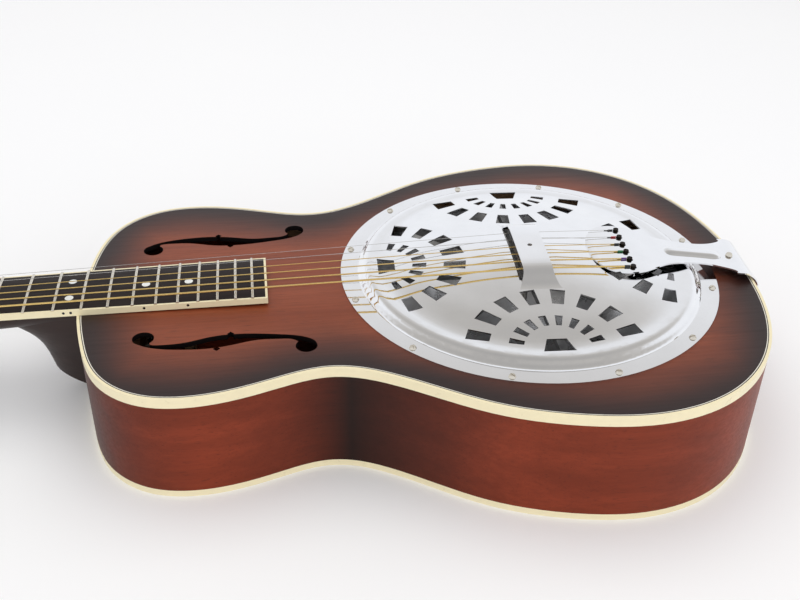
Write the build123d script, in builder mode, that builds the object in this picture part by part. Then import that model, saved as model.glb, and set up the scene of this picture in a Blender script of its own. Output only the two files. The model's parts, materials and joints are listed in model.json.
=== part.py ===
"""Spider-bridge resonator guitar, laid on its back.

The body is drawn with its top plane at z = 0, the cover plate's centre at the origin, +X towards
the tail and +Y towards the treble side. The neck and the headstock have tilted frames of their
own. At the end every piece is set down so that the flat back rests on z = 0.
"""
from build123d import *
import os
from math import asin, atan, cos, degrees, radians, sin, sqrt

os.makedirs("parts", exist_ok=True)

# ---- driving dimensions (mm) ----
SCALE_LENGTH = 650.0
SADDLE_X = -4.48            # theoretical end of the scale
FRETS = 20
BODY_FRET = 12              # the neck meets the body at this fret

# half outline of the body, from the neck joint round the treble side to the tail
HALF_OUTLINE = [
    (-333.5, 0), (-327.5, 60), (-311, 103), (-285, 124), (-255, 129.5), (-205, 119.5),
    (-158, 108), (-115, 124), (-60, 158), (0, 177.5), (42, 180.8), (95, 166),
    (135, 131), (158, 86), (168, 40), (170.5, 0),
]
NECK_END, TAIL_END = HALF_OUTLINE[0][0], HALF_OUTLINE[-1][0]
OUTLINE_STEPS = 72
DEPTH = 86.9                # top to back, at DEPTH_X
DEPTH_X = -81.5
TAPER = 0.019               # the body gets this much deeper for each mm towards the tail
TOP = 4.0                   # plate thicknesses
BACK = 3.2
SIDE = 3.0
BIND_W, BIND_TOP, BIND_BACK = 2.0, 7.2, 5.1
PURFLING = 0.6              # width of one purfling line
PURFLING_DEEP = 1.2
LINING_W, LINING_H = 5.5, 14.0

# resonator
HOLE_R = 135.0              # hole in the top
LEDGE_Z = -11.0             # the cone's rim sits on this ledge
LEDGE_R = 126.0
WELL_R = 133.0
WELL_FLANGE_R = 147.0
CONE_WALL = 0.8
CONE_RIM_R = 134.0
SPIDER_LEGS = 8
COVER_R = 143.1
COVER_WALL = 1.0
COVER_TURN = -3.0           # the cover plate sits turned by this angle
SCREW_CIRCLE = 138.5
COVER_SCREWS = 12
WINDOW_SPAN = 20.3          # angle from one fan window to the next
FAN_R = 113.0               # the fans' own centres
STRAP_W, STRAP_TOP = 22.0, 22.0
STRAP_FOOT_W = 34.0         # the palm rest flares to this at its feet
SPIDER_FOOT = LEDGE_Z + 0.1 + CONE_WALL
SADDLE_MID, SLOT_W, SADDLE_L = -2.0, 3.0, 28.0

# neck
NECK_LEAN = degrees(0.015)  # the neck leans back by this angle
BOARD = 5.8                 # fretboard thickness
BOARD_RADIUS = 305.0
NUT_W, BOARD_END_W = 43.5, 56.5
BOARD_END = 135.0           # end of the fretboard, from the body joint
BOARD_BIND = 1.6
NUT_T, NUT_H = 5.5, 8.4
FRET_H, FRET_W = 1.1, 2.3
HEAD_TILT = 10.5
HEAD_L = 172.0
HEAD_T = 14.0
VENEER = 1.5
ROD_W, ROD_H = 6.0, 9.0
HEEL = [                    # height, nose, half width
    (0, 70, 26.0), (-9, 62, 25.6), (-17, 49.5, 24.6), (-23, 42, 23.4), (-31, 35.5, 21.6),
    (-43, 30.5, 19.0), (-56, 27.5, 16.2), (-80, 24, 12.0),
]

# tuners
POST_R = 3.0
POST_ALONG = (45.0, 85.0, 125.0)
POST_ACROSS = (24.0, 26.0, 27.5)
FIT = 0.05                  # running clearance of a shaft in its hole
BUSH_R = 4.9
BUTTON_Y = 46.0             # where the buttons begin, from the centre line
GEAR_Z = -HEAD_T - 5.0      # height of the gear's middle, in the headstock's frame
GEAR_R, WORM_R = 4.4, 1.8
WORM_OFF = GEAR_R + WORM_R + 0.45
WRAP_ANGLE = 330
WRAP_H = 9.0                # height of the string's wrap above the headplate

# strings, treble to bass
STRING_R = (0.15, 0.2, 0.305, 0.405, 0.535, 0.675)
NUT_SPREAD, SADDLE_SPREAD, BALL_SPREAD = 36.0, 54.0, 55.0
SADDLE_PEAK = 17.4
STRING_RISE = 1.0           # gap from the board to a string at the nut
BALL_X, BALL_Z = 75.0, 15.4
TAIL_TURN = -4.4            # the tailpiece sits turned by this angle about TAIL_PIVOT
TAIL_PIVOT = 62.0
TAIL_SCREW_X = 159.0

# blocks and fixings
BLOCK_W, NECK_BLOCK_L, TAIL_BLOCK_L = 62.0, 42.0, 17.0
BOLT_R, BOLT_Z = 3.0, (-24.0, -48.0)
PIN_R, PIN_Z = 3.5, -44.0
PIN_Y = (TAIL_END - TAIL_PIVOT) * sin(radians(TAIL_TURN))

BODY = Location((0, 0, 0))
NECK = Location((NECK_END, 0, 0.05), (0, -NECK_LEAN, 0))
NUT_X = SADDLE_X - SCALE_LENGTH - NECK_END          # in the neck frame
NECK_SECTIONS = [           # place, depth, fullness of the back
    (NUT_X - 18, 18.0, 1.2), (NUT_X - 4, 16.2, 1.05), (NUT_X + 30, 15.2, 1.0),
    (-60, 16.8, 1.0), (2, 17.6, 1.0),
]
HEAD_LOCAL = Location((NUT_X - NUT_T, 0, -VENEER), (0, -HEAD_TILT, 0))
HEAD = NECK * HEAD_LOCAL
TAIL_PLACE = (Location((TAIL_PIVOT, 0, 0)) * Location((0, 0, 0), (0, 0, TAIL_TURN))
              * Location((-TAIL_PIVOT, 0, 0)))
BACK_FACE = Plane(origin=(DEPTH_X, 0, -DEPTH), x_dir=(1, 0, -TAPER), z_dir=(TAPER, 0, 1))
FAR = 130.0                 # deeper than the body anywhere

pieces = []                 # (label, part) in the body's frame


def keep(builder, label, frame=BODY):
    """Label a finished piece and hold it for the final placing."""
    builder.part.label = label
    pieces.append((label, frame * builder.part))


def plan(inset):
    """The body's outline as a flat face, every point moved inward by inset."""
    mirrored = [(x, -y) for x, y in HALF_OUTLINE[-2:0:-1]]
    with BuildSketch() as sketch:
        with BuildLine():
            edge = Spline(*HALF_OUTLINE, *mirrored, periodic=True, mode=Mode.PRIVATE)
            points = []
            for k in range(OUTLINE_STEPS):
                along = edge % (k / OUTLINE_STEPS)
                points.append(edge @ (k / OUTLINE_STEPS) + Vector(along.Y, -along.X) * inset)
            Spline(*points, periodic=True)
        make_face()
    return sketch.sketch


def ring(outer, inner):
    """Flat ring between two insets of the outline."""
    with BuildSketch() as sketch:
        add(plan(outer))
        add(plan(inner), mode=Mode.SUBTRACT)
    return sketch.sketch


# ---- body shell ----
def f_hole():
    """One f-hole on the bass side: two round lobes, a curved stem and two nicks."""
    with BuildSketch() as sketch:
        with BuildLine():
            inner = Spline((-277.6, -62), (-280.1, -66.8), (-270.8, -68.7), (-254, -67.1),
                           (-240, -62.9), (-224.8, -61.2), (-208.8, -62.1), (-191.5, -64.9),
                           (-175.9, -69.2), (-168.4, -74.9), (-166.9, -80.5))
            outer = Spline((-181.6, -80.5), (-178.8, -77.8), (-180.9, -73.5), (-191.7, -70.4),
                           (-207.4, -70), (-223, -73.6), (-240, -76.4), (-260, -75.6),
                           (-278.3, -71.8), (-287.7, -66.7), (-292.3, -60.8))
            Line(inner @ 1, outer @ 0)
            Line(outer @ 1, inner @ 0)
        make_face()
        with Locations((-284.9, -59.7), (-174.3, -80.3)):
            Circle(7.45)
        with Locations((-225.5, -60.6), (-235, -77.2)):
            RegularPolygon(2.6, 4)
    return sketch.sketch


def body_top():
    with BuildPart() as part:
        with BuildSketch():
            add(plan(BIND_W))
            add(f_hole(), mode=Mode.SUBTRACT)
            add(mirror(f_hole(), about=Plane.XZ, mode=Mode.PRIVATE), mode=Mode.SUBTRACT)
            Circle(HOLE_R, mode=Mode.SUBTRACT)
        extrude(amount=-TOP)
        with BuildSketch():
            add(ring(BIND_W, BIND_W + 3 * PURFLING))
        extrude(amount=-PURFLING_DEEP, mode=Mode.SUBTRACT)
        with BuildSketch():
            with PolarLocations(SCREW_CIRCLE, COVER_SCREWS, 15 + COVER_TURN):
                Circle(1.25)
            with Locations((TAIL_PLACE * Location((TAIL_SCREW_X, 0, 0))).position):
                Circle(1.6)
        extrude(amount=-TOP, mode=Mode.SUBTRACT)
    keep(part, "body_top")


def purfling():
    """Dark, white and dark lines let into the top beside its binding."""
    with BuildPart() as white:
        with BuildSketch():
            add(ring(BIND_W + PURFLING, BIND_W + 2 * PURFLING))
        extrude(amount=-PURFLING_DEEP)
    keep(white, "purfling_white")
    with BuildPart() as dark:
        with BuildSketch():
            add(ring(BIND_W, BIND_W + PURFLING))
            add(ring(BIND_W + 2 * PURFLING, BIND_W + 3 * PURFLING))
        extrude(amount=-PURFLING_DEEP)
    keep(dark, "purfling_dark")


def bindings():
    """Cream strips round both edges; returns the back one for the sides' rabbet."""
    with BuildPart() as top:
        with BuildSketch():
            add(ring(0, BIND_W))
        extrude(amount=-BIND_TOP)
    keep(top, "binding_top")
    with BuildPart() as back:
        with BuildSketch():
            add(ring(0, BIND_W))
        extrude(amount=-FAR)
        split(bisect_by=BACK_FACE, keep=Keep.TOP)
        split(bisect_by=BACK_FACE.offset(BIND_BACK), keep=Keep.BOTTOM)
    keep(back, "binding_back")
    return back.part


def sides(back_binding):
    """Two bent ribs, joined at the neck block and at the tail."""
    with BuildPart() as rim:
        with BuildSketch(Plane.XY.offset(-TOP)):
            add(ring(0, SIDE))
        extrude(amount=-FAR)
        split(bisect_by=BACK_FACE.offset(BACK), keep=Keep.TOP)
        with BuildSketch():
            add(ring(0, BIND_W))
        extrude(amount=-BIND_TOP, mode=Mode.SUBTRACT)
        add(back_binding, mode=Mode.SUBTRACT)
        with BuildSketch(Plane.YZ.offset(NECK_END - 5)):
            with Locations(*[(0, z) for z in BOLT_Z]):
                Circle(BOLT_R + 0.3)
        extrude(amount=20, mode=Mode.SUBTRACT)
        with BuildSketch(Plane.YZ.offset(TAIL_END - 20)):
            with Locations((PIN_Y, PIN_Z)):
                Circle(PIN_R)
        extrude(amount=30, mode=Mode.SUBTRACT)
    for name, side in (("side_treble", Keep.TOP), ("side_bass", Keep.BOTTOM)):
        with BuildPart() as part:
            add(rim.part)
            split(bisect_by=Plane(origin=(0, 0, 0), x_dir=(1, 0, 0), z_dir=(0, 1, 0)), keep=side)
        keep(part, name)


def body_back():
    with BuildPart() as part:
        with BuildSketch():
            add(plan(BIND_W))
        extrude(amount=-FAR)
        split(bisect_by=BACK_FACE, keep=Keep.TOP)
        split(bisect_by=BACK_FACE.offset(BACK), keep=Keep.BOTTOM)
    keep(part, "body_back")


# ---- inside the body ----
def blocks():
    """End blocks between top and back, shaped to the sides' inner face."""
    with BuildPart() as neck_block:
        with BuildSketch(Plane.XY.offset(-TOP)):
            add(plan(SIDE))
            with Locations((NECK_END + NECK_BLOCK_L / 2, 0)):
                Rectangle(NECK_BLOCK_L, BLOCK_W, mode=Mode.INTERSECT)
        extrude(amount=-FAR)
        split(bisect_by=BACK_FACE.offset(BACK), keep=Keep.TOP)
        with BuildSketch(Plane.YZ.offset(NECK_END)):
            with Locations(*[(0, z) for z in BOLT_Z]):
                Circle(BOLT_R + 0.3)
        extrude(amount=NECK_BLOCK_L, mode=Mode.SUBTRACT)
    keep(neck_block, "neck_block")
    with BuildPart() as tail_block:
        with BuildSketch(Plane.XY.offset(-TOP)):
            add(plan(SIDE))
            with Locations((TAIL_END - SIDE - TAIL_BLOCK_L / 2, 0)):
                Rectangle(TAIL_BLOCK_L, BLOCK_W, mode=Mode.INTERSECT)
        extrude(amount=-FAR)
        split(bisect_by=BACK_FACE.offset(BACK), keep=Keep.TOP)
        with BuildSketch(Plane.XY):
            with Locations((TAIL_PLACE * Location((TAIL_SCREW_X, 0, 0))).position):
                Circle(1.6)
        extrude(amount=-14, mode=Mode.SUBTRACT)
        with BuildSketch(Plane.YZ.offset(TAIL_END - 40)):
            with Locations((PIN_Y, PIN_Z)):
                Circle(PIN_R)
        extrude(amount=40, mode=Mode.SUBTRACT)
        with BuildSketch(Plane.XY):
            Circle(WELL_FLANGE_R + 0.5)
        extrude(amount=-FAR, mode=Mode.SUBTRACT)
    keep(tail_block, "tail_block")


def linings():
    """Glue strips in the corners, stopped at the end blocks."""
    top_edge = Plane.XY.offset(-TOP)
    stop_x = (NECK_END + NECK_BLOCK_L / 2, TAIL_END - TAIL_BLOCK_L / 2)
    with BuildPart() as top:
        with BuildSketch(top_edge):
            add(ring(SIDE, SIDE + LINING_W))
            with Locations((stop_x[0], 0), (stop_x[1], 0)):
                Rectangle(NECK_BLOCK_L, BLOCK_W + 0.6, mode=Mode.SUBTRACT)
        extrude(amount=-LINING_H)
    keep(top, "lining_top")
    with BuildPart() as back:
        with BuildSketch():
            add(ring(SIDE, SIDE + LINING_W))
            with Locations((stop_x[0], 0), (stop_x[1], 0)):
                Rectangle(NECK_BLOCK_L, BLOCK_W + 0.6, mode=Mode.SUBTRACT)
        extrude(amount=-FAR)
        split(bisect_by=BACK_FACE.offset(BACK), keep=Keep.TOP)
        split(bisect_by=BACK_FACE.offset(BACK + LINING_H), keep=Keep.BOTTOM)
    keep(back, "lining_back")


def braces():
    """Two bars under the top between neck block and soundwell, two across the back."""
    start = NECK_END + NECK_BLOCK_L + 0.5
    with BuildPart() as top:
        with BuildSketch(Plane.XY.offset(-TOP)):
            for y in (-26, 26):
                end = -sqrt(WELL_FLANGE_R ** 2 - y * y) - 1.5
                with Locations(((start + end) / 2, y)):
                    Rectangle(end - start, 8)
        extrude(amount=-14)
    keep(top, "top_braces")
    with BuildPart() as back:
        with BuildSketch():
            for x, half in ((-262, 114), (-195, 104)):
                with Locations((x, 0)):
                    Rectangle(8, 2 * half)
        extrude(amount=-FAR)
        split(bisect_by=BACK_FACE.offset(BACK), keep=Keep.TOP)
        split(bisect_by=BACK_FACE.offset(BACK + 12), keep=Keep.BOTTOM)
    keep(back, "back_braces")


def soundwell():
    """Plywood ring from top to back: a ledge for the cone, and round windows in its wall."""
    with BuildPart() as part:
        with BuildSketch(Plane.XZ):
            with BuildLine():
                Polyline((LEDGE_R, LEDGE_Z), (HOLE_R, LEDGE_Z), (HOLE_R, -TOP),
                         (WELL_FLANGE_R, -TOP), (WELL_FLANGE_R, -17), (WELL_R, -17),
                         (WELL_R, -FAR), (LEDGE_R, -FAR), close=True)
            make_face()
        revolve(axis=Axis.Z)
        split(bisect_by=BACK_FACE.offset(BACK), keep=Keep.TOP)
        for k in range(10):
            across = Plane.XZ.rotated((0, 0, 18 + 36 * k))
            with BuildSketch(across):
                with Locations((0, -50)):
                    Circle(16)
            extrude(amount=WELL_R + 10, mode=Mode.SUBTRACT)
        with BuildSketch():
            with PolarLocations(SCREW_CIRCLE, COVER_SCREWS, 15 + COVER_TURN):
                Circle(1.25)
        extrude(amount=-13, mode=Mode.SUBTRACT)
    keep(part, "soundwell")


# ---- resonator ----
def resonator_cone():
    """Spun aluminium bowl hung by its rim, with a shallow raised bottom."""
    outer = [(LEDGE_R - 1, LEDGE_Z + 0.1), (117, -14.5), (80, -27), (40, -37.5), (22, -41), (12, -41)]
    with BuildPart() as part:
        with BuildSketch(Plane.XZ):
            with BuildLine():
                lower = Spline(*outer, tangents=((-1, 0), (-1, 0)))
                Line(lower @ 1, (3.2, -41))
                Line((3.2, -41), (3.2, -41 + CONE_WALL))
                upper = Spline(*[(r, z + CONE_WALL) for r, z in outer],
                               tangents=((-1, 0), (-1, 0)))
                Line((3.2, -41 + CONE_WALL), upper @ 1)
                Line(upper @ 0, (CONE_RIM_R, LEDGE_Z + 0.1 + CONE_WALL))
                Line((CONE_RIM_R, LEDGE_Z + 0.1 + CONE_WALL), (CONE_RIM_R, LEDGE_Z + 0.1))
                Line((CONE_RIM_R, LEDGE_Z + 0.1), lower @ 0)
            make_face()
        revolve(axis=Axis.Z)
    keep(part, "resonator_cone")


def spider():
    """Cast bridge: eight legs from a hub to the cone's rim, slotted for the saddles."""
    with BuildPart() as part:
        with BuildSketch(Plane.XZ.offset(-3)):
            with BuildLine():
                Polyline((14, -4), (60, -3.5), (112, -5), (124, SPIDER_FOOT), (131, SPIDER_FOOT),
                         (131, -7.4), (122, -3), (110, 0.5), (60, 2.5), (14, 4), close=True)
            make_face()
        extrude(amount=6)
        leg = part.part
        for k in range(1, SPIDER_LEGS):
            add(leg.rotate(Axis.Z, 360 / SPIDER_LEGS * k))
        with BuildSketch(Plane.XY.offset(-6)):
            Circle(20)
        extrude(amount=10)
        with BuildSketch(Plane.XY.offset(4)):
            with Locations((SADDLE_MID, 0)):
                Rectangle(11, 2 * SADDLE_L + 4)
        extrude(amount=4)
        with BuildSketch(Plane.XY.offset(1)):
            with Locations((SADDLE_MID, 0)):
                Rectangle(11, 2 * SADDLE_L + 4)
        extrude(amount=4)
        with BuildSketch(Plane.XY.offset(2)):
            with Locations((SADDLE_MID, 0)):
                Rectangle(SLOT_W, 2 * SADDLE_L)
        extrude(amount=8, mode=Mode.SUBTRACT)
        with BuildSketch(Plane.XY.offset(-6)):
            Circle(2.0)
        extrude(amount=8, mode=Mode.SUBTRACT)
    keep(part, "spider")


def saddles():
    """Two wooden saddle halves, with a crest that the strings cross."""
    for name, y in (("saddle_bass", -SADDLE_L), ("saddle_treble", 0.1)):
        with BuildPart() as part:
            with BuildSketch(Plane.XZ.offset(-y)):
                with BuildLine():
                    Polyline((SADDLE_MID - SLOT_W / 2, 2), (SADDLE_MID + SLOT_W / 2, 2),
                             (SADDLE_MID + SLOT_W / 2, SADDLE_PEAK - 1), (SADDLE_MID, SADDLE_PEAK),
                             (SADDLE_MID - SLOT_W / 2, SADDLE_PEAK - 1), close=True)
                make_face()
            extrude(amount=-(SADDLE_L - 0.1))
        keep(part, name)


def spider_screw():
    """Screw from the hub down to the cone's apex, with a nut below it."""
    with BuildPart() as part:
        with BuildSketch(Plane.XY.offset(2)):
            Circle(2.0)
        extrude(amount=-48)
        with BuildSketch(Plane.XY.offset(-41)):
            RegularPolygon(4.5, 6)
        extrude(amount=-3.5)
        with BuildSketch(Plane.XY.offset(-41 + CONE_WALL)):
            Circle(6)
        extrude(amount=1.2)
    keep(part, "spider_screw")


def cover_profile(lift):
    """Outer half section of the plate, raised by lift: flange, bead and dome."""
    return [(130.5, lift), (127.5, 2.6 + lift), (125, 5.0 + lift), (118, 5.8 + lift),
            (90, 8.4 + lift), (67, 10.7 + lift), (50, 12.2 + lift), (25, 13.9 + lift),
            (0, 14.4 + lift)]


def fan_windows():
    """One fan: an arc of small windows, an arc of large ones and a trapezoid at the rim."""
    with BuildSketch() as fan:
        for k in range(8):
            turn = 180 + (k - 3.5) * WINDOW_SPAN
            for near, far, w0, w1 in ((24, 34.5, 3.9, 5.7), (47.5, 64, 8.3, 11.2)):
                middle = (near + far) / 2
                centre = (FAN_R + middle * cos(radians(turn)), middle * sin(radians(turn)), 0)
                half = (far - near) / 2
                with Locations(Location(centre, (0, 0, turn))):
                    Polygon((-half, -w0 / 2), (half, -w1 / 2), (half, w1 / 2), (-half, w0 / 2),
                            align=None)
    return fan.sketch


def palm_rest():
    """Raised strap over the bridge, as wide as STRAP_W and flared at its two feet."""
    with BuildPart() as part:
        with BuildSketch(Plane.YZ.offset(-STRAP_FOOT_W / 2)):
            with BuildLine():
                side = Spline((0, STRAP_TOP), (26, STRAP_TOP - 0.1), (33, STRAP_TOP - 1.1),
                              (37.5, STRAP_TOP - 3.7), (41.5, 15.2), (49, 13.3),
                              tangents=((1, 0), (1, -0.1)))
                Line(side @ 1, (49, 12.7))
                Spline((49, 12.7), (40.9, 14.1), (36.6, STRAP_TOP - 4.8), (32.4, STRAP_TOP - 2.3),
                       (25.6, STRAP_TOP - 1.3), (0, STRAP_TOP - 1.2), tangents=((-1, 0.1), (-1, 0)))
                mirror(about=Plane.YZ)
            make_face()
        extrude(amount=STRAP_FOOT_W)
        with BuildSketch():
            with BuildLine():
                edge = Spline((STRAP_W / 2, 33), (STRAP_W / 2 + 0.5, 37), (STRAP_W / 2 + 2.4, 42),
                              (STRAP_FOOT_W / 2, 50), tangents=((0, 1), (0.9, 1)))
                Line((STRAP_W / 2, 33), (STRAP_W / 2, 0))
                Line(edge @ 1, (0, 50))
                mirror(about=Plane.YZ)
                mirror(about=Plane.XZ)
            make_face()
        extrude(amount=40, mode=Mode.INTERSECT)
    return part.part


def cover_plate(strap):
    """Pressed metal plate with four fans of windows, and the palm rest over the bridge."""
    with BuildPart() as part:
        with BuildSketch(Plane.XZ):
            with BuildLine():
                upper = Spline(*cover_profile(COVER_WALL), tangents=((-0.3, 1), (-1, 0)))
                Line(upper @ 1, (0, cover_profile(0)[-1][1]))
                lower = Spline(*cover_profile(0), tangents=((-0.3, 1), (-1, 0)))
                Line(lower @ 0, (COVER_R, 0))
                Line((COVER_R, 0), (COVER_R, COVER_WALL))
                Line((COVER_R, COVER_WALL), upper @ 0)
            make_face()
        revolve(axis=Axis.Z)
        with BuildSketch():
            for k in range(4):
                add(fan_windows().rotate(Axis.Z, 90 * k))
            with PolarLocations(108.8, 4):
                Polygon((-6.4, -7), (6.4, -11.3), (6.4, 11.3), (-6.4, 7), align=None)
            with Locations((-2.5, 1)):
                Rectangle(23, 2 * SADDLE_L + 20)
        extrude(amount=30, mode=Mode.SUBTRACT)
        add(strap)
        with BuildSketch(Plane.XY.offset(18)):
            Circle(1.9)
        extrude(amount=20, mode=Mode.SUBTRACT)
        with BuildSketch():
            with PolarLocations(SCREW_CIRCLE, COVER_SCREWS, 15):
                Circle(1.6)
        extrude(amount=3, mode=Mode.SUBTRACT)
    part.part = part.part.rotate(Axis.Z, COVER_TURN)
    keep(part, "cover_plate")


def cover_screws():
    """Twelve slotted round-head wood screws round the flange."""
    with BuildPart() as part:
        with PolarLocations(SCREW_CIRCLE, COVER_SCREWS, 15 + COVER_TURN):
            Cylinder(1.25, 14.2, align=(Align.CENTER, Align.CENTER, Align.MAX))
        part.part = part.part.moved(Location((0, 0, 1.2)))
        with BuildSketch(Plane.XY.offset(COVER_WALL)):
            with PolarLocations(SCREW_CIRCLE, COVER_SCREWS, 15 + COVER_TURN):
                Circle(2.7)
        extrude(amount=1.5, taper=28)
        with BuildSketch(Plane.XY.offset(COVER_WALL + 0.9)):
            with PolarLocations(SCREW_CIRCLE, COVER_SCREWS, 15 + COVER_TURN):
                Rectangle(7, 0.6, rotation=55)
        extrude(amount=2, mode=Mode.SUBTRACT)
    keep(part, "cover_screws")


# ---- tailpiece ----
def tailpiece():
    """Plated stamping from the string anchors over the tail edge and down to the end pin."""
    wall = 1.2
    run = [(47, 14.6), (54, 15.05), (62, 15.0), (80, 14.4), (112, 11.6), (140, 8.4), (162, 6.4)]
    out = TAIL_END + 5.5
    with BuildPart() as part:
        with BuildSketch(Plane.XZ.offset(-45)):
            with BuildLine():
                top = Spline(*run, tangents=((1, 0.3), (1, -0.06)))
                over = TangentArc(top @ 1, (out, -4), tangent=(1, -0.06))
                Line(over @ 1, (out, -58))
                Line((out, -58), (out - wall, -58))
                Line((out - wall, -58), (out - wall, -4))
                back = Spline(*[(x, z - wall) for x, z in run], tangents=((1, 0.3), (1, -0.06)))
                TangentArc(back @ 1, (out - wall, -4), tangent=(1, -0.06))
                Line(back @ 0, top @ 0)
            make_face()
        extrude(amount=90)
        with BuildSketch(Plane.XY.offset(-100)) as outline:
            with BuildLine():
                edge = Spline((46.5, 0), (50, 20), (60, 32.5), (70, 35), (84, 32), (104, 20),
                              (128, 15), (145, 16.5), (158, 24), (164, 26),
                              tangents=((0, 1), (1, 0)))
                Line(edge @ 1, (TAIL_END + 20, 26))
                Line((TAIL_END + 20, 26), (TAIL_END + 20, 0))
                mirror(about=Plane.XZ)
            make_face()
        extrude(amount=150, mode=Mode.INTERSECT)
        with BuildSketch(Plane.YZ.offset(TAIL_END + 1)):
            with Locations((0, -38)):
                Rectangle(60, 60)
                Rectangle(24, 60, mode=Mode.SUBTRACT)
        extrude(amount=10, mode=Mode.SUBTRACT)
        with BuildSketch(Plane.YZ.offset(TAIL_END)):
            with Locations((0, PIN_Z)):
                Circle(PIN_R + 0.4)
        extrude(amount=12, mode=Mode.SUBTRACT)
        with BuildSketch(Plane.XY.offset(5)):
            for y in string_places(BALL_SPREAD):
                with Locations((BALL_X, y)):
                    Circle(2.7)
                with Locations((BALL_X - 5, y)):
                    Rectangle(9, 1.9)
        extrude(amount=20, mode=Mode.SUBTRACT)
        with BuildSketch(Plane.XY):
            with Locations((TAIL_SCREW_X, 0)):
                Circle(1.6)
        extrude(amount=20, mode=Mode.SUBTRACT)
    part.part = part.part.moved(TAIL_PLACE)
    keep(part, "tailpiece")


def tailpiece_screw():
    with BuildPart() as part:
        with BuildSketch(Plane.XY.offset(7.05)):
            with Locations((TAIL_SCREW_X, 0)):
                Circle(2.8)
        extrude(amount=1.5, taper=25)
        with BuildSketch(Plane.XY.offset(7.05)):
            with Locations((TAIL_SCREW_X, 0)):
                Circle(1.5)
        extrude(amount=-16)
    part.part = part.part.moved(TAIL_PLACE)
    keep(part, "tailpiece_screw")


def end_pin():
    """Turned button that holds the tailpiece's strap to the tail block."""
    with BuildPart() as part:
        with BuildSketch(Plane.XZ):
            with BuildLine():
                x0 = TAIL_END + 6.6
                Polyline((TAIL_END - 17, 0), (TAIL_END - 17, PIN_R), (x0, PIN_R), (x0, 6), (x0 + 2.5, 4.2),
                         (x0 + 7, 4.2), (x0 + 10, 7), (x0 + 13, 7), (x0 + 15, 4), (x0 + 15, 0),
                         close=True)
            make_face()
        revolve(axis=Axis.X)
    part.part = part.part.moved(Location((0, PIN_Y, PIN_Z)))
    keep(part, "end_pin")


# ---- strings ----
def string_places(spread):
    """Lateral places of the strings, treble to bass."""
    return [spread / 2 - spread / 5 * k for k in range(6)]


def board_drop(y):
    """How far the rounded board lies below its crown at y."""
    return BOARD_RADIUS - sqrt(BOARD_RADIUS ** 2 - y * y)


def at(frame, x, y, z):
    """A point of a tilted frame, in the body frame."""
    return (frame * Location((x, y, z))).position


def post_place(k):
    """Along and across places of the post of string k, in the headstock's frame."""
    row = k if k < 3 else 5 - k
    side = 1 if k < 3 else -1
    return POST_ALONG[row], side * POST_ACROSS[row]


def strings():
    """Six tuned strings: ball end, saddle, nut and one closed turn round the post."""
    for k, r in enumerate(STRING_R):
        y_nut, y_saddle, y_ball = (string_places(s)[k] for s in (NUT_SPREAD, SADDLE_SPREAD, BALL_SPREAD))
        nut_z = BOARD - board_drop(y_nut) + STRING_RISE + r
        along, across = post_place(k)
        wrap_r = POST_R + 0.3 + r
        ball = (TAIL_PLACE * Location((BALL_X - 2.2, y_ball, BALL_Z))).position
        crest = Vector(SADDLE_MID, y_saddle, SADDLE_PEAK + r + 0.03)
        nut = at(NECK, NUT_X - NUT_T - 0.3, y_nut, nut_z)
        centre = at(HEAD, -along, across, VENEER + WRAP_H)
        reach = centre - nut
        inner = reach.normalized().cross(at(HEAD, 0, 0, 1) - at(HEAD, 0, 0, 0)).normalized()
        inner = inner if inner.Y * across < 0 else -inner
        short = wrap_r / reach.length
        spoke = inner * sqrt(1 - short ** 2) - reach.normalized() * short
        touch = centre + spoke * wrap_r
        onward = (touch - nut).normalized()
        with BuildPart() as part:
            with BuildLine():
                FilletPolyline(ball, crest, nut, touch, radius=12)
                middle, end = (centre + (spoke * cos(a) + onward * sin(a)) * wrap_r
                               for a in (radians(WRAP_ANGLE / 2), radians(WRAP_ANGLE)))
                ThreePointArc(touch, middle, end)
            with BuildSketch(Plane(origin=ball, z_dir=crest - ball)):
                Circle(r)
            sweep()
        keep(part, f"string_{k + 1}")


def ball_ends():
    """Small brass barrels lying in the tailpiece's keyholes."""
    with BuildPart() as part:
        for y in string_places(BALL_SPREAD):
            with BuildSketch(Plane.XY.offset(BALL_Z - 2)):
                with Locations((BALL_X, y)):
                    Circle(2.0)
            extrude(amount=3)
    part.part = part.part.moved(TAIL_PLACE)
    keep(part, "ball_ends")


# ---- neck ----
def board_width(x):
    """Width of the fretboard at x in the neck frame."""
    return NUT_W + (BOARD_END_W - NUT_W) * (x - NUT_X) / (BOARD_END - NUT_X)


def board_face(inset, start, end):
    """Tapered plan of the fretboard between two places, moved in at its sides."""
    w0, w1 = (board_width(x) / 2 - inset for x in (start, end))
    with BuildSketch() as sketch:
        with BuildLine():
            Polyline((start, -w0), (end, -w1), (end, w1), (start, w0), close=True)
        make_face()
    return sketch.sketch


def crown():
    """Everything below the rounded face of the fretboard."""
    with BuildPart() as part:
        with BuildSketch(Plane.YZ.offset(NUT_X - 10)):
            with Locations((0, BOARD - BOARD_RADIUS)):
                Circle(BOARD_RADIUS)
        extrude(amount=BOARD_END - NUT_X + 20)
    return part.part


def fret_x(n):
    """Place of fret n in the neck frame."""
    return SADDLE_X - SCALE_LENGTH * 2 ** (-n / 12) - NECK_END


def dot_places():
    """Inlay centres: single dots, and a pair at the octave."""
    places = []
    for n in (3, 5, 7, 9, 12, 15, 17):
        x = (fret_x(n) + fret_x(n - 1)) / 2
        places += [(x, -11), (x, 11)] if n == 12 else [(x, 0)]
    return places


def side_dot_places():
    places = []
    for n in (3, 5, 7, 9, 12, 15, 17):
        x = (fret_x(n) + fret_x(n - 1)) / 2
        places += [x - 2.5, x + 2.5] if n == 12 else [x]
    return places


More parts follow.
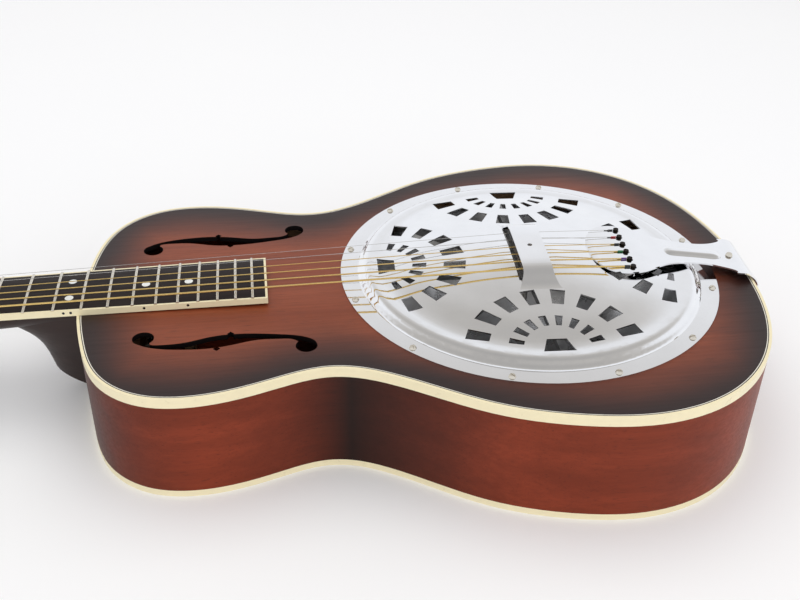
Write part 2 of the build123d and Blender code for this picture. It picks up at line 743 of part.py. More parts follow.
def fretboard(rounded):
    with BuildPart() as board:
        with BuildSketch():
            add(board_face(BOARD_BIND, NUT_X, BOARD_END - BOARD_BIND))
        extrude(amount=BOARD)
        add(rounded, mode=Mode.INTERSECT)
        with BuildSketch(Plane.XY.offset(BOARD - 1.5)):
            with Locations(*dot_places()):
                Circle(3)
        extrude(amount=2, mode=Mode.SUBTRACT)
    keep(board, "fretboard", NECK)
    with BuildPart() as dots:
        with BuildSketch(Plane.XY.offset(BOARD - 1.5)):
            with Locations(*dot_places()):
                Circle(3)
        extrude(amount=2)
        add(rounded, mode=Mode.INTERSECT)
    keep(dots, "inlay_dots", NECK)
    with BuildPart() as binding:
        with BuildSketch():
            add(board_face(0, NUT_X, BOARD_END))
            add(board_face(BOARD_BIND, NUT_X, BOARD_END - BOARD_BIND), mode=Mode.SUBTRACT)
        extrude(amount=BOARD)
        add(rounded, mode=Mode.INTERSECT)
        for x in side_dot_places():
            with BuildSketch(Plane(origin=(x, -board_width(x) / 2 - 1, 2.7), z_dir=(0, 1, 0))):
                Circle(1.0)
            extrude(amount=1.8, mode=Mode.SUBTRACT)
    keep(binding, "fretboard_binding", NECK)
    with BuildPart() as marks:
        for x in side_dot_places():
            with BuildSketch(Plane(origin=(x, -board_width(x) / 2 + 0.8, 2.7), z_dir=(0, -1, 0))):
                Circle(1.0)
            extrude(amount=0.8)
    keep(marks, "side_dots", NECK)


def frets():
    """Nickel wires bent to the board's radius."""
    with BuildPart() as part:
        for n in range(1, FRETS + 1):
            x = fret_x(n)
            half = degrees(asin((board_width(x) / 2 - 0.5) / BOARD_RADIUS))
            centre = Location((x, 0, BOARD - BOARD_RADIUS))
            with BuildPart(mode=Mode.PRIVATE) as wire:
                with BuildSketch(Plane.XZ):
                    with BuildLine():
                        base = Line((-FRET_W / 2, BOARD_RADIUS), (FRET_W / 2, BOARD_RADIUS))
                        ThreePointArc(base @ 1, (0, BOARD_RADIUS + FRET_H), base @ 0)
                    make_face()
                revolve(axis=Axis.X, revolution_arc=2 * half)
            add(wire.part.rotate(Axis.X, -half).moved(centre))
    keep(part, "frets", NECK)


def nut():
    """Bone nut with one slot for each string."""
    with BuildPart() as part:
        with BuildSketch(Plane.YZ.offset(NUT_X - NUT_T)):
            with Locations((0, (NUT_H - 1) / 2)):
                Rectangle(NUT_W, NUT_H - 1)
        extrude(amount=NUT_T)
        for k, y in enumerate(string_places(NUT_SPREAD)):
            low = BOARD - board_drop(y) + STRING_RISE - 0.03
            with BuildSketch(Plane.XY.offset(low)):
                with Locations((NUT_X - NUT_T / 2, y)):
                    Rectangle(NUT_T + 2, 2 * STRING_R[k] + 0.5)
            extrude(amount=5, mode=Mode.SUBTRACT)
    keep(part, "nut", NECK)


def neck_section(x, width, depth, fullness):
    """Cross section of the neck at x: a straight top and one smooth curve for the back."""
    half, low = width / 2, -depth / 0.75
    with BuildSketch(Plane(origin=(x, 0, 0), x_dir=(0, 1, 0), z_dir=(1, 0, 0))) as sketch:
        with BuildLine():
            back = Bezier((half, 0), (half * fullness, low), (-half * fullness, low), (-half, 0))
            Line(back @ 1, back @ 0)
        make_face()
    return sketch.sketch


def neck():
    """Mahogany neck with heel and headstock in one piece."""
    with BuildPart() as part:
        for x, depth, fullness in NECK_SECTIONS:
            add(neck_section(x, board_width(x), depth, fullness))
        loft()
        for z, nose, half in HEEL:
            with BuildSketch(Plane.XY.offset(z)):
                with BuildLine():
                    nose_arc = EllipticalCenterArc((2, 0), nose + 2, half, 90, arc_size=180)
                    Line(nose_arc @ 1, nose_arc @ 0)
                make_face()
        loft()
        with BuildSketch(Plane.XZ):
            with BuildLine():
                Polyline((-32.4, -54.3), (10, -80.6), (10, -FAR), (-32.4, -FAR), close=True)
            make_face()
        extrude(amount=20, both=True, mode=Mode.SUBTRACT)
        head_plane = Plane(HEAD_LOCAL)
        with BuildSketch(head_plane.offset(20)):
            with Locations((-40, 0)):
                Rectangle(80, 90)
        extrude(amount=-20, mode=Mode.SUBTRACT)
        with BuildSketch(head_plane):
            add(head_outline())
        extrude(amount=-HEAD_T)
        add(body_prism().moved(NECK.inverse()), mode=Mode.SUBTRACT)
        with BuildSketch(Plane.XY):
            with Locations(((NUT_X - 32) / 2, 0)):
                Rectangle(-NUT_X + 20, ROD_W)
        extrude(amount=-ROD_H, mode=Mode.SUBTRACT)
        for z in BOLT_Z:
            with BuildSketch(Plane.YZ.offset(4)):
                with Locations((0, z)):
                    Circle(BOLT_R + 0.5)
            extrude(amount=-26, mode=Mode.SUBTRACT)
        for k in range(6):
            along, across = post_place(k)
            with BuildSketch(head_plane.offset(1)):
                with Locations((-along, across)):
                    Circle(BUSH_R)
            extrude(amount=-HEAD_T - 2, mode=Mode.SUBTRACT)
    keep(part, "neck", NECK)


def body_prism():
    with BuildPart() as part:
        with BuildSketch(Plane.XY.offset(-FAR)):
            add(plan(0))
        extrude(amount=2 * FAR)
    return part.part


def head_outline():
    """Plan of the headstock, running to -X from the nut."""
    with BuildSketch() as sketch:
        with BuildLine():
            edge = Spline((0, NUT_W / 2), (-14, 24.5), (-26, 33), (-60, 36.5), (-120, 38),
                          (-156, 38.5), tangents=((-1, 0.02), (-1, 0)))
            Spline(edge @ 1, (-166, 22), (-HEAD_L, 0), tangents=((-0.4, -1), (0, -1)))
            mirror(about=Plane.XZ)
            Line((0, NUT_W / 2), (0, -NUT_W / 2))
        make_face()
    return sketch.sketch


def headplate():
    with BuildPart() as part:
        with BuildSketch():
            add(head_outline())
            with Locations((-13, 0)):
                SlotOverall(22, 9, mode=Mode.SUBTRACT)
            for k in range(6):
                with Locations(post_flip(k)):
                    Circle(BUSH_R, mode=Mode.SUBTRACT)
        extrude(amount=VENEER)
    keep(part, "headplate", HEAD)


def post_flip(k):
    along, across = post_place(k)
    return -along, across


def truss_rod():
    """Steel rod in its channel, with its nut in the pocket under the cover."""
    with BuildPart() as part:
        with BuildSketch(Plane.YZ.offset(NUT_X - 12)):
            with Locations((0, -ROD_H / 2)):
                Circle(2.6)
        extrude(amount=-NUT_X - 2)
    keep(part, "truss_rod", NECK)


def truss_rod_cover():
    with BuildPart() as part:
        with BuildSketch(Plane.XY.offset(VENEER)):
            with BuildLine():
                edge = Spline((-1, 10), (-14, 8), (-30, 3.5), (-34, 0), tangents=((-1, 0), (0, -1)))
                mirror(about=Plane.XZ)
                Line((-1, 10), (-1, -10))
            make_face()
            with Locations((-5, -6.5), (-5, 6.5), (-29, 0)):
                Circle(0.9, mode=Mode.SUBTRACT)
        extrude(amount=1.6)
    keep(part, "truss_rod_cover", HEAD)
    with BuildPart() as screws:
        with BuildSketch(Plane.XY.offset(VENEER + 1.6)):
            with Locations((-5, -6.5), (-5, 6.5), (-29, 0)):
                Circle(1.7)
        extrude(amount=0.8, taper=20)
        with BuildSketch(Plane.XY.offset(VENEER + 1.6)):
            with Locations((-5, -6.5), (-5, 6.5), (-29, 0)):
                Circle(0.9)
        extrude(amount=-1.6)
    keep(screws, "truss_cover_screws", HEAD)


def neck_bolts():
    with BuildPart() as part:
        for z in BOLT_Z:
            with BuildSketch(Plane.YZ.offset(NECK_END + NECK_BLOCK_L)):
                with Locations((0, z)):
                    Circle(6)
            extrude(amount=5)
            with BuildSketch(Plane.YZ.offset(NECK_END + NECK_BLOCK_L)):
                with Locations((0, z)):
                    Circle(BOLT_R - 0.2)
            extrude(amount=-NECK_BLOCK_L - 18)
    keep(part, "neck_bolts")


# ---- tuners ----
def tuners():
    """Six enclosed worm-geared tuners."""
    with BuildPart() as housings:
        for k in range(6):
            x, y = post_flip(k)
            side = 1 if y > 0 else -1
            with BuildSketch(Plane.XY.offset(-HEAD_T)):
                with Locations((x - WORM_OFF / 2, y)):
                    RectangleRounded(20, 16, 3)
            extrude(amount=-9.5)
            with BuildSketch(Plane.XY.offset(-HEAD_T)):
                with Locations((x, y)):
                    Circle(POST_R + FIT)
            extrude(amount=-3.5, mode=Mode.SUBTRACT)
            with BuildSketch(Plane.XY.offset(GEAR_Z + 1.9)):
                with Locations((x, y)):
                    Circle(GEAR_R + 0.4)
            extrude(amount=-3.8, mode=Mode.SUBTRACT)
            with BuildSketch(Plane(origin=(x - WORM_OFF, y - side * 5, GEAR_Z), z_dir=(0, side, 0))):
                Circle(WORM_R + 0.35)
            extrude(amount=10, mode=Mode.SUBTRACT)
            with BuildSketch(Plane(origin=(x - WORM_OFF, y, GEAR_Z), z_dir=(0, side, 0))):
                Circle(1.6 + FIT)
            extrude(amount=20, mode=Mode.SUBTRACT)
    keep(housings, "tuner_housings", HEAD)
    with BuildPart() as bushings:
        for k in range(6):
            with BuildSketch(Plane.XY.offset(VENEER)):
                with Locations(post_flip(k)):
                    Circle(6.2)
                    Circle(POST_R + FIT, mode=Mode.SUBTRACT)
            extrude(amount=1.6)
            with BuildSketch(Plane.XY.offset(VENEER)):
                with Locations(post_flip(k)):
                    Circle(BUSH_R)
                    Circle(POST_R + FIT, mode=Mode.SUBTRACT)
            extrude(amount=-8)
    keep(bushings, "tuner_bushings", HEAD)
    for k in range(6):
        x, y = post_flip(k)
        side = 1 if y > 0 else -1
        with BuildPart() as post:
            with BuildSketch(Plane.XY.offset(GEAR_Z + 1.5)):
                with Locations((x, y)):
                    Circle(GEAR_R)
            extrude(amount=-3)
            with BuildSketch(Plane.XY.offset(GEAR_Z)):
                with Locations((x, y)):
                    Circle(POST_R)
            extrude(amount=-GEAR_Z + VENEER + WRAP_H + 4)
        keep(post, f"tuner_post_{k + 1}", HEAD)
        with BuildPart() as button:
            axle = Plane(origin=(x - WORM_OFF, y - side * 4.5, GEAR_Z), x_dir=(1, 0, 0), z_dir=(0, side, 0))
            with BuildSketch(axle):
                Circle(WORM_R)
            extrude(amount=9)
            with BuildSketch(axle):
                Circle(1.6)
            extrude(amount=BUTTON_Y - abs(y) + 6)
            with BuildSketch(axle.offset(BUTTON_Y - abs(y) + 4.5)):
                Ellipse(9, 5.6)
            extrude(amount=14)
            fillet(button.edges().group_by(Axis.Y)[-1 if side > 0 else 0], 2)
        keep(button, f"tuner_button_{k + 1}", HEAD)
    with BuildPart() as screws:
        for k in range(6):
            x, y = post_flip(k)
            with BuildSketch(Plane.XY.offset(-HEAD_T - 9.5)):
                with Locations((x + 5.5, y)):
                    Circle(1.5)
            extrude(amount=-0.9)
    keep(screws, "tuner_screws", HEAD)


def main():
    body_top()
    purfling()
    sides(bindings())
    body_back()
    blocks()
    linings()
    braces()
    soundwell()
    resonator_cone()
    spider()
    saddles()
    spider_screw()
    cover_plate(palm_rest())
    cover_screws()
    tailpiece()
    tailpiece_screw()
    end_pin()
    strings()
    ball_ends()
    neck()
    fretboard(crown())
    frets()
    nut()
    headplate()
    truss_rod()
    truss_rod_cover()
    neck_bolts()
    tuners()
    level = Location((0, 0, 0), (0, -degrees(atan(TAPER)), 0))
    whole = Compound(children=[level * part for _, part in pieces]).bounding_box()
    rest = Location((-whole.center().X, -whole.center().Y, -whole.min.Z)) * level
    print("rest frame", rest, whole.size)
    for label, part in pieces:
        placed = rest * part
        placed.label = label
        export_step(placed, f"parts/{label}.step")


main()
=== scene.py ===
"""Looks of the spider-bridge resonator guitar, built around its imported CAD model."""
import json
from math import atan, cos, pi, radians, sin

import bpy
from mathutils import Matrix, Vector


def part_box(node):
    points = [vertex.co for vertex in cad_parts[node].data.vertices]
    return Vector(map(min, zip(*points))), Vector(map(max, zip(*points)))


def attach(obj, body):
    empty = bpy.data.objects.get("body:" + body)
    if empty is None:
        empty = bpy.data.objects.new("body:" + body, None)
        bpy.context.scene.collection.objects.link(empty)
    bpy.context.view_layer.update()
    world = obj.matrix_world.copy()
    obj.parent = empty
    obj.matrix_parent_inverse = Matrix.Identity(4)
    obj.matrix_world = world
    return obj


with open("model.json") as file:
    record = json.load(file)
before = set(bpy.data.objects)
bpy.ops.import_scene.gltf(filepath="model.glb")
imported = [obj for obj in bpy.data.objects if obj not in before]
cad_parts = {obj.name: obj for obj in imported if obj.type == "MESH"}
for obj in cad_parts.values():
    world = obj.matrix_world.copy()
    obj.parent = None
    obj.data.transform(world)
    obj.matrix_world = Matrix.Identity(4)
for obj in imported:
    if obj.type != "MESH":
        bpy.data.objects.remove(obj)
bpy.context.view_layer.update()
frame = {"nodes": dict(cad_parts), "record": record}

MM = 0.001
TAPER = 0.019                 # the back's slope against the top

# Camera in the body's frame: place in mm, lens and sensor width in mm.
CAMERA_SPOT = (-197.13, -646.56, 408.72)
LENS, SENSOR = 45.87, 36
FLOOR_HALF = 4.0              # metres

# Tailpiece, in mm: where it turns about, its height along its length, and the six ball ends.
TAIL_PIVOT, TAIL_TURN = 62, radians(-4.4)
PLATE_RUN = [(47, 14.6), (54, 15.05), (62, 15.0), (80, 14.4), (112, 11.6), (140, 8.4), (162, 6.4)]
BALL_X, BALL_Y, BALL_PITCH, BALL_Z = 72.8, 27.5, 11, 15.4

# Strings, thinnest first, in mm: radius, and where they cross the saddle.
STRING_R = (0.15, 0.2, 0.305, 0.405, 0.535, 0.675)
SADDLE_X, SADDLE_Y, SADDLE_PITCH, SADDLE_TOP = -2, 27, 10.8, 17.4
SILKS = ((0.05, 0.05, 0.05), (0.40, 0.02, 0.02), (0.02, 0.02, 0.02), (0.02, 0.15, 0.05),
         (0.09, 0.03, 0.17), (0.02, 0.02, 0.02))

# Half outline of the body in its own frame, in mm: neck joint, treble side, tail.
HALF_OUTLINE = [
    (-333.5, 0), (-327.5, 60), (-311, 103), (-285, 124), (-255, 129.5), (-205, 119.5),
    (-158, 108), (-115, 124), (-60, 158), (0, 177.5), (42, 180.8), (95, 166),
    (135, 131), (158, 86), (168, 40), (170.5, 0),
]


def body_frame():
    """The body's own frame: its origin is the cover plate's centre, on the flat top."""
    low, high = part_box("cover_plate")
    half = (high.x - low.x) / 2
    origin = Vector(((low.x + high.x) / 2, 0, low.z + half * TAPER))
    return Matrix.Translation(origin) @ Matrix.Rotation(-atan(TAPER), 4, "Y")


BODY = body_frame()


def place(x, y, z):
    """A point of the body's frame, given in mm, in the row frame."""
    return BODY @ Vector((x * MM, y * MM, z * MM))


# ---- camera, floor and light ----
def add_camera():
    """The camera, turned and rolled about its own spot in the body's frame."""
    azimuth, elevation, roll = radians(-8.69), radians(33.30), radians(1.27)
    back = Vector((sin(azimuth) * cos(elevation), -cos(azimuth) * cos(elevation), sin(elevation)))
    right = Vector((cos(azimuth), sin(azimuth), 0))
    up = back.cross(right)
    turned = right * cos(roll) + up * sin(roll)
    raised = up * cos(roll) - right * sin(roll)
    axes = Matrix((turned, raised, back)).transposed().to_4x4()
    data = bpy.data.cameras.new("camera")
    data.sensor_width = SENSOR
    data.lens = LENS
    camera = bpy.data.objects.new("camera", data)
    bpy.context.scene.collection.objects.link(camera)
    camera.matrix_world = BODY @ Matrix.Translation(Vector(CAMERA_SPOT) * MM) @ axes
    bpy.context.scene.camera = camera


def add_area(name, spot, target, size, power, colour=(1, 1, 1)):
    """A soft light that isn't mirrored in the metal."""
    data = bpy.data.lights.new(name, "AREA")
    data.shape = "RECTANGLE"
    data.size, data.size_y = size
    data.energy = power
    data.color = colour
    lamp = bpy.data.objects.new(name, data)
    bpy.context.scene.collection.objects.link(lamp)
    lamp.location = spot
    lamp.rotation_euler = (Vector(target) - Vector(spot)).to_track_quat("-Z", "Y").to_euler()
    lamp.visible_glossy = False


def add_world():
    """A pale studio tent, bright near the floor and greyer overhead."""
    world = bpy.data.worlds.new("studio")
    world.use_nodes = True
    tree = world.node_tree
    spot = tree.nodes.new("ShaderNodeTexCoord").outputs["Generated"]
    split = tree.nodes.new("ShaderNodeSeparateXYZ")
    tree.links.new(spot, split.inputs["Vector"])
    ramp = tree.nodes.new("ShaderNodeValToRGB")
    stops = [(0.0, (0.95, 0.97, 1.0)), (0.44, (0.90, 0.92, 0.96)), (0.54, (0.80, 0.81, 0.83)),
             (0.62, (0.62, 0.61, 0.60)), (0.74, (0.50, 0.485, 0.465)), (1.0, (0.42, 0.41, 0.40))]
    while len(ramp.color_ramp.elements) < len(stops):
        ramp.color_ramp.elements.new(0.5)
    for element, (where, colour) in zip(ramp.color_ramp.elements, stops):
        element.position = where
        element.color = (*colour, 1)
    tree.links.new(split.outputs["Z"], ramp.inputs["Fac"])
    background = tree.nodes["Background"]
    tree.links.new(ramp.outputs["Color"], background.inputs["Color"])
    background.inputs["Strength"].default_value = 1.0
    bpy.context.scene.world = world


def add_studio():
    """A plain pale floor, the tent round it, and two soft lights."""
    half = FLOOR_HALF
    mesh = bpy.data.meshes.new("floor")
    corners = [(-half, -half, 0), (half, -half, 0), (half, half, 0), (-half, half, 0)]
    mesh.from_pydata(corners, [], [(0, 1, 2, 3)])
    floor = bpy.data.objects.new("floor", mesh)
    bpy.context.scene.collection.objects.link(floor)
    build = Build("studio_floor")
    build.join(build.mix(build.span(build.noise(2), 0.3, 0.7), (0.955, 0.955, 0.965),
                         (0.965, 0.965, 0.97)), build.shader.inputs["Base Color"])
    build.set(Roughness=0.8, Specular_IOR_Level=0.1)
    mesh.materials.append(build.material)
    add_world()
    add_area("roof", (0.1, 0.2, 2.4), (0.1, 0, 0), (3.4, 3.0), 33)
    add_area("front", (0.9, -2.2, 1.1), (0.2, 0, 0.1), (2.4, 1.6), 11)
    bpy.context.scene.view_settings.view_transform = "Standard"


# ---- materials ----
class Build:
    """A node material being put together."""

    def __init__(self, name):
        self.material = bpy.data.materials.new(name)
        self.material.use_nodes = True
        self.tree = self.material.node_tree
        self.shader = self.tree.nodes["Principled BSDF"]
        self.at = self.node("ShaderNodeTexCoord").outputs["Object"]

    def node(self, kind, **settings):
        node = self.tree.nodes.new(kind)
        for key, value in settings.items():
            setattr(node, key, value)
        return node

    def join(self, source, target):
        self.tree.links.new(source, target)

    def set(self, **values):
        for key, value in values.items():
            if isinstance(value, tuple) and len(value) == 3:
                value = (*value, 1)
            self.shader.inputs[key.replace("_", " ")].default_value = value

    def stretched(self, scale):
        mapping = self.node("ShaderNodeMapping")
        mapping.inputs["Scale"].default_value = scale
        self.join(self.at, mapping.inputs["Vector"])
        return mapping.outputs["Vector"]

    def noise(self, scale, detail=3.0, rough=0.55, vector=None, distortion=0.0):
        node = self.node("ShaderNodeTexNoise")
        node.inputs["Scale"].default_value = scale
        node.inputs["Detail"].default_value = detail
        node.inputs["Roughness"].default_value = rough
        node.inputs["Distortion"].default_value = distortion
        self.join(vector or self.at, node.inputs["Vector"])
        return node.outputs["Fac"]

    def math(self, kind, a, b=None, clamp=False):
        node = self.node("ShaderNodeMath", operation=kind, use_clamp=clamp)
        for slot, value in enumerate((a, b)):
            if value is None:
                continue
            if isinstance(value, (int, float)):
                node.inputs[slot].default_value = value
            else:
                self.join(value, node.inputs[slot])
        return node.outputs[0]

    def span(self, value, low, high, to_low=0.0, to_high=1.0, smooth=False):
        node = self.node("ShaderNodeMapRange")
        node.interpolation_type = "SMOOTHSTEP" if smooth else "LINEAR"
        for key, number in zip(("From Min", "From Max", "To Min", "To Max"),
                               (low, high, to_low, to_high)):
            node.inputs[key].default_value = number
        self.join(value, node.inputs["Value"])
        return node.outputs["Result"]

    def ramp(self, value, stops):
        node = self.node("ShaderNodeValToRGB")
        ramp = node.color_ramp
        while len(ramp.elements) < len(stops):
            ramp.elements.new(0.5)
        for element, (where, colour) in zip(ramp.elements, stops):
            element.position = where
            element.color = (*colour, 1)
        self.join(value, node.inputs["Fac"])
        return node.outputs["Color"]

    def mix(self, factor, a, b, blend="MIX"):
        node = self.node("ShaderNodeMix", data_type="RGBA", blend_type=blend)
        if isinstance(factor, (int, float)):
            node.inputs["Factor"].default_value = factor
        else:
            self.join(factor, node.inputs["Factor"])
        for slot, value in (("A", a), ("B", b)):
            socket = [s for s in node.inputs if s.name == slot and s.type == "RGBA"][0]
            if isinstance(value, tuple):
                socket.default_value = (*value, 1)
            else:
                self.join(value, socket)
        return [s for s in node.outputs if s.type == "RGBA"][0]

    def bump(self, height, strength, distance):
        node = self.node("ShaderNodeBump")
        node.inputs["Strength"].default_value = strength
        node.inputs["Distance"].default_value = distance
        self.join(height, node.inputs["Height"])
        self.join(node.outputs["Normal"], self.shader.inputs["Normal"])

    def axes(self, vector=None):
        node = self.node("ShaderNodeSeparateXYZ")
        self.join(vector or self.at, node.inputs["Vector"])
        return node.outputs


def plain(name, colour, roughness=0.5, bump=0.2, metallic=0.0, **sockets):
    """A smooth material with a little variation in its colour and gloss."""
    build = Build(name)
    speck = build.noise(140, detail=4)
    darker = tuple(c * 0.965 for c in colour)
    build.join(build.mix(build.span(speck, 0.35, 0.65), darker, colour),
               build.shader.inputs["Base Color"])
    build.join(build.span(speck, 0.3, 0.7, roughness * 0.9, roughness * 1.1),
               build.shader.inputs["Roughness"])
    build.set(Metallic=metallic, **sockets)
    if bump:
        build.bump(build.noise(900, detail=2), bump, 0.00005)
    return build.material


def curve(build, value, points, low, high, top):
    """A float curve through points (place, height), both given in mm."""
    node = build.node("ShaderNodeFloatCurve")
    line = node.mapping.curves[0]
    scaled = [((x - low) / (high - low), y / top) for x, y in points]
    line.points[0].location = scaled[0]
    line.points[1].location = scaled[-1]
    for x, y in scaled[1:-1]:
        line.points.new(x, y)
    node.mapping.update()
    build.join(build.span(value, low * MM, high * MM), node.inputs["Value"])
    return build.math("MULTIPLY", node.outputs["Value"], top * MM)


def edge_distance(build, spot):
    """Rough distance in metres from the outline, for a point in the body's frame."""
    x, y, _ = build.axes(spot)
    across = build.math("ABSOLUTE", y)
    tail, neck = HALF_OUTLINE[-1][0], HALF_OUTLINE[0][0]
    reach = curve(build, x, HALF_OUTLINE, neck, tail, 200)
    widest = max(y for _, y in HALF_OUTLINE)
    end_half = [(y, x) for x, y in reversed(HALF_OUTLINE) if x >= 42]
    neck_half = [(y, x - neck) for x, y in HALF_OUTLINE if x <= -255]
    tail_x = curve(build, across, end_half, 0, widest, 200)
    neck_x = curve(build, across, neck_half, 0, 129.5, 200)
    side = build.math("MULTIPLY", build.math("SUBTRACT", reach, across), 0.9)
    behind = build.math("SUBTRACT", tail_x, x)
    from_neck = build.math("SUBTRACT", build.math("SUBTRACT", x, neck * MM), neck_x)
    return build.math("MINIMUM", side, build.math("MINIMUM", behind, from_neck))


def in_body(build):
    """The shading point in the body's frame."""
    node = build.node("ShaderNodeMapping", vector_type="TEXTURE")
    node.inputs["Location"].default_value = BODY.translation
    node.inputs["Rotation"].default_value = BODY.to_euler()
    build.join(build.at, node.inputs["Vector"])
    return node.outputs["Vector"]


def mahogany(name, light, dark, shade=None, gloss=0.42, specular=0.34):
    """Stained mahogany: ribbon figure, fine pores along the neck's line and a satin coat."""
    build = Build(name)
    figure = build.noise(1.0, detail=4, vector=build.stretched((2.2, 60, 60)))
    pores = build.noise(1.0, detail=2, rough=0.5, vector=build.stretched((60, 2200, 2200)))
    fine = build.noise(1.0, detail=4, vector=build.stretched((14, 420, 420)))
    colour = build.mix(build.span(figure, 0.3, 0.7), dark, light)
    colour = build.mix(build.span(fine, 0.35, 0.75, 0.0, 0.5), colour,
                       tuple(c * 0.55 for c in light))
    pore = build.span(pores, 0.60, 0.72)
    colour = build.mix(build.math("MULTIPLY", pore, 0.55), colour, (0.02, 0.008, 0.005))
    # shade recolours the wood: the stained burst on the top, painted shade on the sides
    if shade:
        colour = shade(build, colour)
    build.join(colour, build.shader.inputs["Base Color"])
    build.join(build.span(fine, 0.3, 0.7, gloss * 0.88, gloss * 1.12),
               build.shader.inputs["Roughness"])
    build.bump(build.math("SUBTRACT", fine, pore), 0.12, 0.00012)
    build.set(Specular_IOR_Level=specular, Coat_Weight=specular / 7, Coat_Roughness=0.3)
    return build.material


def burst(build, colour):
    """Dark edges round a lighter middle, and black walls in the sound holes."""
    distance = edge_distance(build, in_body(build))
    wander = build.math("MULTIPLY", build.math("SUBTRACT", build.noise(9), 0.5), 0.018)
    factor = build.span(build.math("ADD", distance, wander), 0.004, 0.062, smooth=True)
    stained = build.mix(factor, build.mix(0.97, colour, (0.014, 0.008, 0.008)), colour)
    facing = build.axes(build.node("ShaderNodeNewGeometry").outputs["True Normal"])[2]
    return build.mix(build.span(facing, 0.6, 0.9), (0.006, 0.004, 0.004), stained)


def painted_side_shade(build, colour):
    """Painted shade: darker at the waist and beside the heel."""
    x = build.axes(in_body(build))[0]
    # painted shade ramp along the body: the side's colour mixed toward near-black at the waist and
    # beside the heel
    dark = build.ramp(build.span(x, -0.3335, 0.1705), [
        (0.0, (0.85,) * 3), (0.08, (0.35,) * 3), (0.17, (0.0,) * 3), (0.27, (0.25,) * 3),
        (0.37, (0.97,) * 3), (0.45, (0.7,) * 3), (0.58, (0.05,) * 3), (1.0, (0.1,) * 3)])
    return build.mix(dark, colour, (0.010, 0.005, 0.004))


def metal(name, colour, roughness, grain=0.0, stretch=(1, 1, 1)):
    """Bare or plated metal with faint smears in its gloss."""
    build = Build(name)
    smear = build.noise(1.0, detail=4, vector=build.stretched(tuple(s * 60 for s in stretch)))
    build.join(build.span(smear, 0.3, 0.7, roughness * 0.7, roughness * 1.3),
               build.shader.inputs["Roughness"])
    build.join(build.mix(build.span(smear, 0.3, 0.7), tuple(c * 0.96 for c in colour), colour),
               build.shader.inputs["Base Color"])
    build.set(Metallic=1.0)
    if grain:
        build.bump(smear, grain, 0.0001)
    return build.material


def winding(name, colour, roughness):
    """Round-wound string: one ridge of the wrap wire every third of a millimetre, with painted
    shade in the grooves between the wraps.
    """
    build = Build(name)
    wave = build.node("ShaderNodeTexWave", bands_direction="X")
    wave.inputs["Scale"].default_value = 900
    build.join(build.at, wave.inputs["Vector"])
    ridge = wave.outputs["Fac"]
    # painted shade: the grooves between the wraps darkened to 0.6 of the colour
    painted_groove_shade = tuple(c * 0.6 for c in colour)
    build.join(build.mix(build.span(ridge, 0.0, 0.35), painted_groove_shade, colour),
               build.shader.inputs["Base Color"])
    build.join(build.span(build.noise(300), 0.3, 0.7, roughness * 0.8, roughness * 1.2),
               build.shader.inputs["Roughness"])
    build.set(Metallic=1.0)
    build.bump(ridge, 0.5, 0.0001)
    return build.material


def materials():
    """One material for each slot named in the record."""
    wood = {
        "mahogany_top": mahogany("mahogany_top", (0.29, 0.064, 0.022), (0.20, 0.040, 0.014), burst),
        # the sides get painted shade at the waist and beside the heel
        "mahogany_side": mahogany("mahogany_side", (0.27, 0.042, 0.015), (0.18, 0.027, 0.009),
                                  painted_side_shade, specular=0.16),
        "mahogany_neck": mahogany("mahogany_neck", (0.030, 0.012, 0.009), (0.018, 0.008, 0.006)),
        "inner_wood": mahogany("inner_wood", (0.42, 0.26, 0.14), (0.34, 0.2, 0.11), gloss=0.7),
        "dark_line": mahogany("dark_line", (0.02, 0.014, 0.012), (0.015, 0.01, 0.01)),
        "fretboard_wood": mahogany("fretboard_wood", (0.026, 0.018, 0.017), (0.016, 0.011, 0.010),
                                    gloss=0.5, specular=0.14),
        "maple": mahogany("maple", (0.55, 0.36, 0.2), (0.48, 0.3, 0.16)),
    }
    other = {
        "cream_binding": plain("cream_binding", (0.88, 0.78, 0.52), 0.3, 0.05),
        "white_line": plain("white_line", (0.8, 0.76, 0.66), 0.4, 0.05),
        "nickel": metal("nickel", (0.74, 0.69, 0.6), 0.22),
        "chrome": metal("chrome", (0.93, 0.93, 0.94), 0.05),
        "spun_aluminium": metal("spun_aluminium", (0.8, 0.8, 0.81), 0.3),
        "cast_aluminium": metal("cast_aluminium", (0.5, 0.5, 0.5), 0.5, 0.3),
        "bone": plain("bone", (0.84, 0.8, 0.69), 0.35),
        "pearl": plain("pearl", (0.85, 0.87, 0.85), 0.2, Coat_Weight=1.0),
        "black_plastic": plain("black_plastic", (0.012, 0.012, 0.013), 0.22),
        "plain_steel": metal("plain_steel", (0.75, 0.74, 0.72), 0.2),
        "bronze_string": winding("bronze_string", (1.0, 0.72, 0.27), 0.34),
        "brass": metal("brass", (0.025, 0.019, 0.014), 0.5),
    }
    return {**wood, **other}


def dress(looks):
    """Give every CAD node the material of its slot."""
    for entry in frame["record"]["subparts"]:
        mesh = frame["nodes"][entry["node"]].data
        mesh.materials.clear()
        mesh.materials.append(looks[entry["material_slot"]])


# ---- tailpiece ----
PIVOT = Matrix.Translation((TAIL_PIVOT * MM, 0, 0))
TAIL = BODY @ PIVOT @ Matrix.Rotation(TAIL_TURN, 4, "Z") @ PIVOT.inverted()


def plate_height(x):
    """Height in mm of the tailpiece's upper face at x."""
    for (x0, z0), (x1, z1) in zip(PLATE_RUN, PLATE_RUN[1:]):
        if x <= x1:
            return z0 + (z1 - z0) * (x - x0) / (x1 - x0)
    return PLATE_RUN[-1][1]


def add_mesh(name, vertices, faces, look, slot_name, body="root"):
    """A smooth visual piece that rides on one body."""
    mesh = bpy.data.meshes.new(name)
    mesh.from_pydata(vertices, [], faces)
    mesh.validate()
    for polygon in mesh.polygons:
        polygon.use_smooth = True
    mesh.materials.append(look)
    piece = bpy.data.objects.new(name, mesh)
    bpy.context.scene.collection.objects.link(piece)
    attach(piece, body)
    return piece


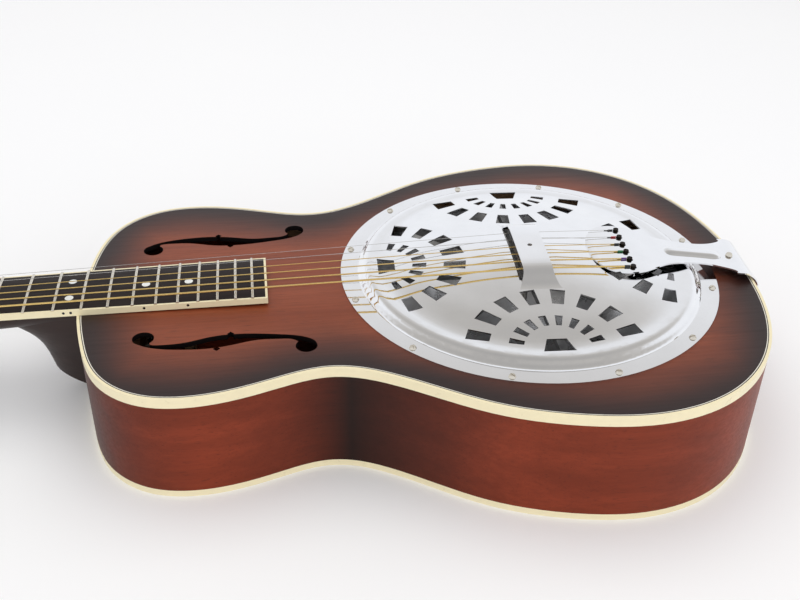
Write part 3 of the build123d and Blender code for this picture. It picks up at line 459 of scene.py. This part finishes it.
def add_rib(look):
    """Long rounded rib pressed up along the tailpiece's neck."""
    start, end, half, lift = 106.0, 152.0, 6.2, 2.3
    along, across = 40, 14
    vertices, faces = [], []
    for i in range(along + 1):
        t = i / along
        x = start + (end - start) * t
        width = half * max(0.0, 1 - abs(2 * t - 1) ** 12) ** 0.5
        for j in range(across + 1):
            s = 2 * j / across - 1
            rise = lift * (1 - abs(2 * t - 1) ** 8) * (1 - s ** 4)
            vertices.append(TAIL @ (Vector((x, s * width, plate_height(x) - 0.15 + rise)) * MM))
    step = across + 1
    for i in range(along):
        for j in range(across):
            a = i * step + j
            faces.append((a, a + step, a + step + 1, a + 1))
    add_mesh("tailpiece_rib", vertices, faces, look, "chrome")


def tube(points, radius, sides=10):
    """Vertices and faces of a closed tube along points."""
    vertices, faces = [], []
    for k, point in enumerate(points):
        ahead = points[min(k + 1, len(points) - 1)] - points[max(k - 1, 0)]
        turn = ahead.to_track_quat("Z", "Y")
        r = radius[k] if isinstance(radius, (list, tuple)) else radius
        for j in range(sides):
            a = 2 * pi * j / sides
            vertices.append(point + turn @ Vector((r * cos(a), r * sin(a), 0)))
    for k in range(len(points) - 1):
        for j in range(sides):
            a, b = k * sides + j, k * sides + (j + 1) % sides
            faces.append((a, b, b + sides, a + sides))
    faces.append(tuple(reversed(range(sides))))
    faces.append(tuple(range(len(vertices) - sides, len(vertices))))
    return vertices, faces


def add_silks():
    """Coloured thread wrapped round each string where it meets its ball end."""
    for k, (r, colour) in enumerate(zip(STRING_R, SILKS)):
        ball = TAIL @ (Vector((BALL_X, BALL_Y - BALL_PITCH * k, BALL_Z)) * MM)
        crest = place(SADDLE_X, SADDLE_Y - SADDLE_PITCH * k, SADDLE_TOP + r)
        toward = (crest - ball).normalized()
        points = [ball + toward * (0.0003 + 0.0006 * i) for i in range(8)]
        radii = [(r + 0.30 + 0.06 * (i % 2)) * MM for i in range(7)] + [(r + 0.08) * MM]
        silk = plain(f"silk_{k + 1}", colour, roughness=0.7, bump=0.3, Sheen_Weight=0.3)
        add_mesh(f"silk_{k + 1}", *tube(points, radii), silk, "bronze_string")


add_camera()
add_studio()
looks = materials()
dress(looks)
add_rib(looks["chrome"])
add_silks()
